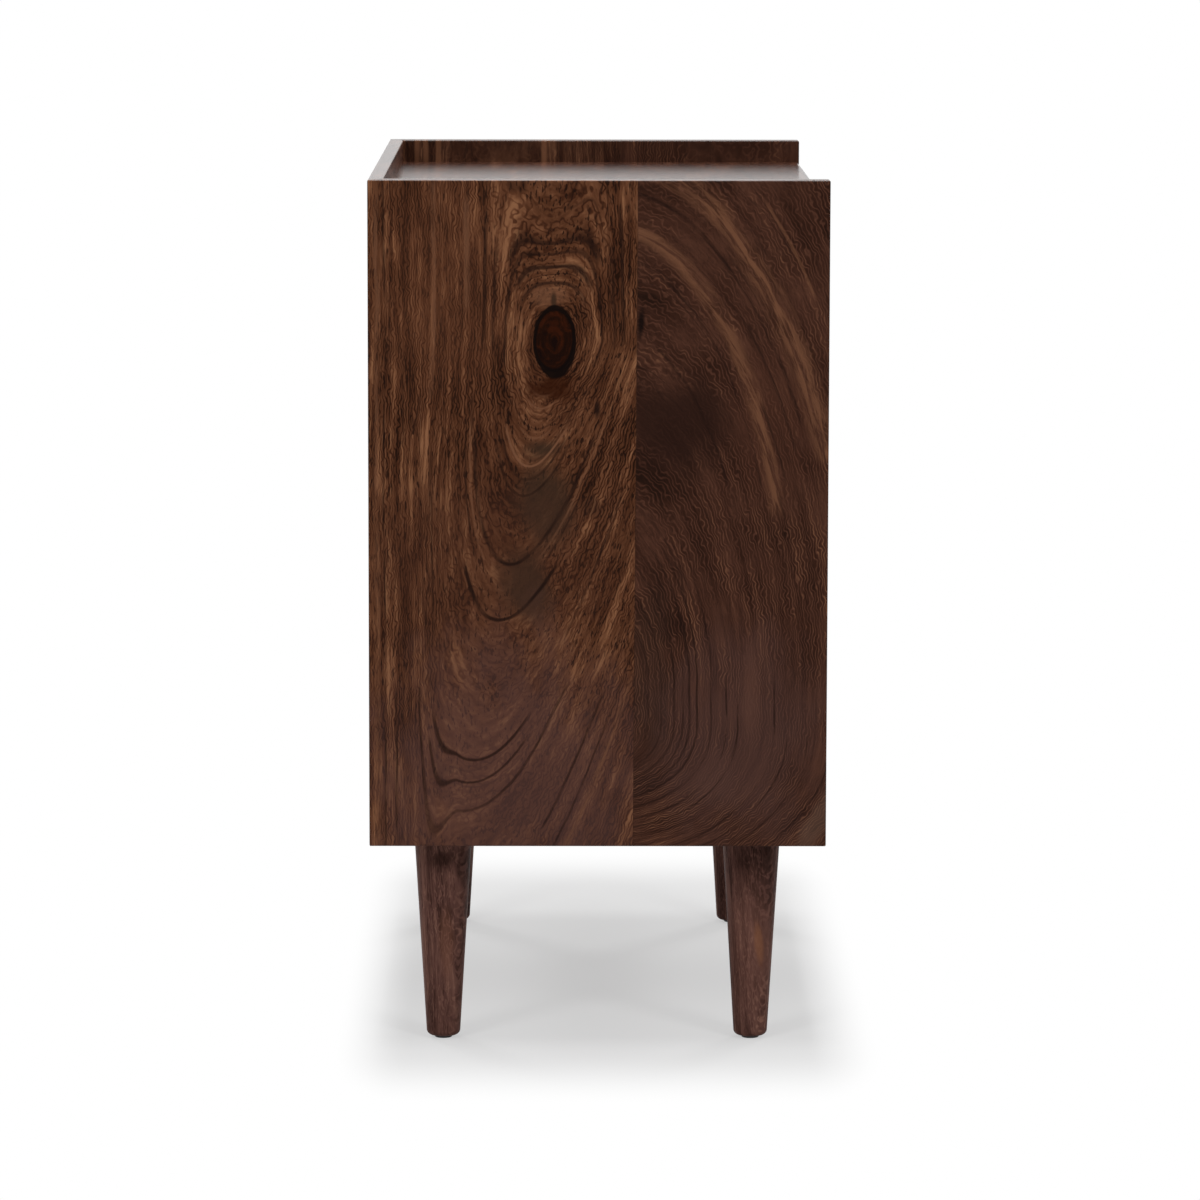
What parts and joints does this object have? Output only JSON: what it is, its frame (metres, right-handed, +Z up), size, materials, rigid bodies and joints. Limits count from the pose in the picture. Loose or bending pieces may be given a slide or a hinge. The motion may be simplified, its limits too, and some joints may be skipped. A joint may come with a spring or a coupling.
{
  "type": "nightstand",
  "caption": "Walnut nightstand with drawers on ball-bearing runners, a tray top railed on the sides and back, and round tapered legs.",
  "frame": {"origin": "on the floor under the middle of the case", "axes": "+Z up, front towards -Y, +X to the right as seen from the front"},
  "size_m": [0.6, 0.36, 0.69],
  "materials": {
    "walnut": "satin lacquer",
    "leg_walnut": "satin lacquer",
    "birch": "clear matt lacquer",
    "birch_ply": "clear matt lacquer",
    "beech": "raw",
    "runner_steel": "zinc plated",
    "cage_steel": "zinc plated",
    "screw_steel": "zinc plated",
    "zinc": "zinc plated",
    "glide_nylon": "moulded"
  },
  "bodies": {
    "case": {"side_left": "walnut", "side_right": "walnut", "back_panel": "walnut", "top_board": "walnut", "bottom_board": "walnut", "middle_rail": "walnut", "dowels": "beech", "leg_front_left": "leg_walnut", "glide_front_left": "glide_nylon", "leg_front_right": "leg_walnut", "glide_front_right": "glide_nylon", "leg_back_left": "leg_walnut", "glide_back_left": "glide_nylon", "leg_back_right": "leg_walnut", "glide_back_right": "glide_nylon", "leg_inserts": "zinc", "leg_bolts": "zinc", "case_member_screws": "screw_steel", "upper_left_case_member": "runner_steel", "upper_right_case_member": "runner_steel", "lower_left_case_member": "runner_steel", "lower_right_case_member": "runner_steel"},
    "upper_drawer": {"upper_face": "walnut", "upper_box_front": "birch", "upper_box_back": "birch", "upper_box_left": "birch", "upper_box_right": "birch", "upper_box_floor": "birch_ply", "upper_face_screws": "screw_steel", "upper_member_screws": "screw_steel", "upper_left_drawer_member": "runner_steel", "upper_right_drawer_member": "runner_steel"},
    "upper_left_middle": {"upper_left_middle_member": "runner_steel"},
    "upper_left_case_cage": {"upper_left_case_cage": "cage_steel"},
    "upper_left_drawer_cage": {"upper_left_drawer_cage": "cage_steel"},
    "upper_right_middle": {"upper_right_middle_member": "runner_steel"},
    "upper_right_case_cage": {"upper_right_case_cage": "cage_steel"},
    "upper_right_drawer_cage": {"upper_right_drawer_cage": "cage_steel"},
    "lower_drawer": {"lower_face": "walnut", "lower_box_front": "birch", "lower_box_back": "birch", "lower_box_left": "birch", "lower_box_right": "birch", "lower_box_floor": "birch_ply", "lower_face_screws": "screw_steel", "lower_member_screws": "screw_steel", "lower_left_drawer_member": "runner_steel", "lower_right_drawer_member": "runner_steel"},
    "lower_left_middle": {"lower_left_middle_member": "runner_steel"},
    "lower_left_case_cage": {"lower_left_case_cage": "cage_steel"},
    "lower_left_drawer_cage": {"lower_left_drawer_cage": "cage_steel"},
    "lower_right_middle": {"lower_right_middle_member": "runner_steel"},
    "lower_right_case_cage": {"lower_right_case_cage": "cage_steel"},
    "lower_right_drawer_cage": {"lower_right_drawer_cage": "cage_steel"}
  },
  "joints": [
    {"name": "upper_drawer_slide", "type": "slide", "parent": "case", "child": "upper_drawer", "axis": [0, -1, 0], "range_m": [0, 0.28]},
    {"name": "upper_left_middle_slide", "type": "slide", "parent": "case", "child": "upper_left_middle", "axis": [0, -1, 0], "range_m": [0, 0.14]},
    {"name": "upper_left_case_cage_slide", "type": "slide", "parent": "case", "child": "upper_left_case_cage", "axis": [0, -1, 0], "range_m": [0, 0.07]},
    {"name": "upper_left_drawer_cage_slide", "type": "slide", "parent": "case", "child": "upper_left_drawer_cage", "axis": [0, -1, 0], "range_m": [0, 0.21]},
    {"name": "upper_right_middle_slide", "type": "slide", "parent": "case", "child": "upper_right_middle", "axis": [0, -1, 0], "range_m": [0, 0.14]},
    {"name": "upper_right_case_cage_slide", "type": "slide", "parent": "case", "child": "upper_right_case_cage", "axis": [0, -1, 0], "range_m": [0, 0.07]},
    {"name": "upper_right_drawer_cage_slide", "type": "slide", "parent": "case", "child": "upper_right_drawer_cage", "axis": [0, -1, 0], "range_m": [0, 0.21]},
    {"name": "lower_drawer_slide", "type": "slide", "parent": "case", "child": "lower_drawer", "axis": [0, -1, 0], "range_m": [0, 0.28]},
    {"name": "lower_left_middle_slide", "type": "slide", "parent": "case", "child": "lower_left_middle", "axis": [0, -1, 0], "range_m": [0, 0.14]},
    {"name": "lower_left_case_cage_slide", "type": "slide", "parent": "case", "child": "lower_left_case_cage", "axis": [0, -1, 0], "range_m": [0, 0.07]},
    {"name": "lower_left_drawer_cage_slide", "type": "slide", "parent": "case", "child": "lower_left_drawer_cage", "axis": [0, -1, 0], "range_m": [0, 0.21]},
    {"name": "lower_right_middle_slide", "type": "slide", "parent": "case", "child": "lower_right_middle", "axis": [0, -1, 0], "range_m": [0, 0.14]},
    {"name": "lower_right_case_cage_slide", "type": "slide", "parent": "case", "child": "lower_right_case_cage", "axis": [0, -1, 0], "range_m": [0, 0.07]},
    {"name": "lower_right_drawer_cage_slide", "type": "slide", "parent": "case", "child": "lower_right_drawer_cage", "axis": [0, -1, 0], "range_m": [0, 0.21]}
  ],
  "couplings": [
    {"joint": "upper_left_middle_slide", "follows": "upper_drawer_slide", "ratio": 0.5},
    {"joint": "upper_left_case_cage_slide", "follows": "upper_drawer_slide", "ratio": 0.25},
    {"joint": "upper_left_drawer_cage_slide", "follows": "upper_drawer_slide", "ratio": 0.75},
    {"joint": "upper_right_middle_slide", "follows": "upper_drawer_slide", "ratio": 0.5},
    {"joint": "upper_right_case_cage_slide", "follows": "upper_drawer_slide", "ratio": 0.25},
    {"joint": "upper_right_drawer_cage_slide", "follows": "upper_drawer_slide", "ratio": 0.75},
    {"joint": "lower_left_middle_slide", "follows": "lower_drawer_slide", "ratio": 0.5},
    {"joint": "lower_left_case_cage_slide", "follows": "lower_drawer_slide", "ratio": 0.25},
    {"joint": "lower_left_drawer_cage_slide", "follows": "lower_drawer_slide", "ratio": 0.75},
    {"joint": "lower_right_middle_slide", "follows": "lower_drawer_slide", "ratio": 0.5},
    {"joint": "lower_right_case_cage_slide", "follows": "lower_drawer_slide", "ratio": 0.25},
    {"joint": "lower_right_drawer_cage_slide", "follows": "lower_drawer_slide", "ratio": 0.75}
  ]
}
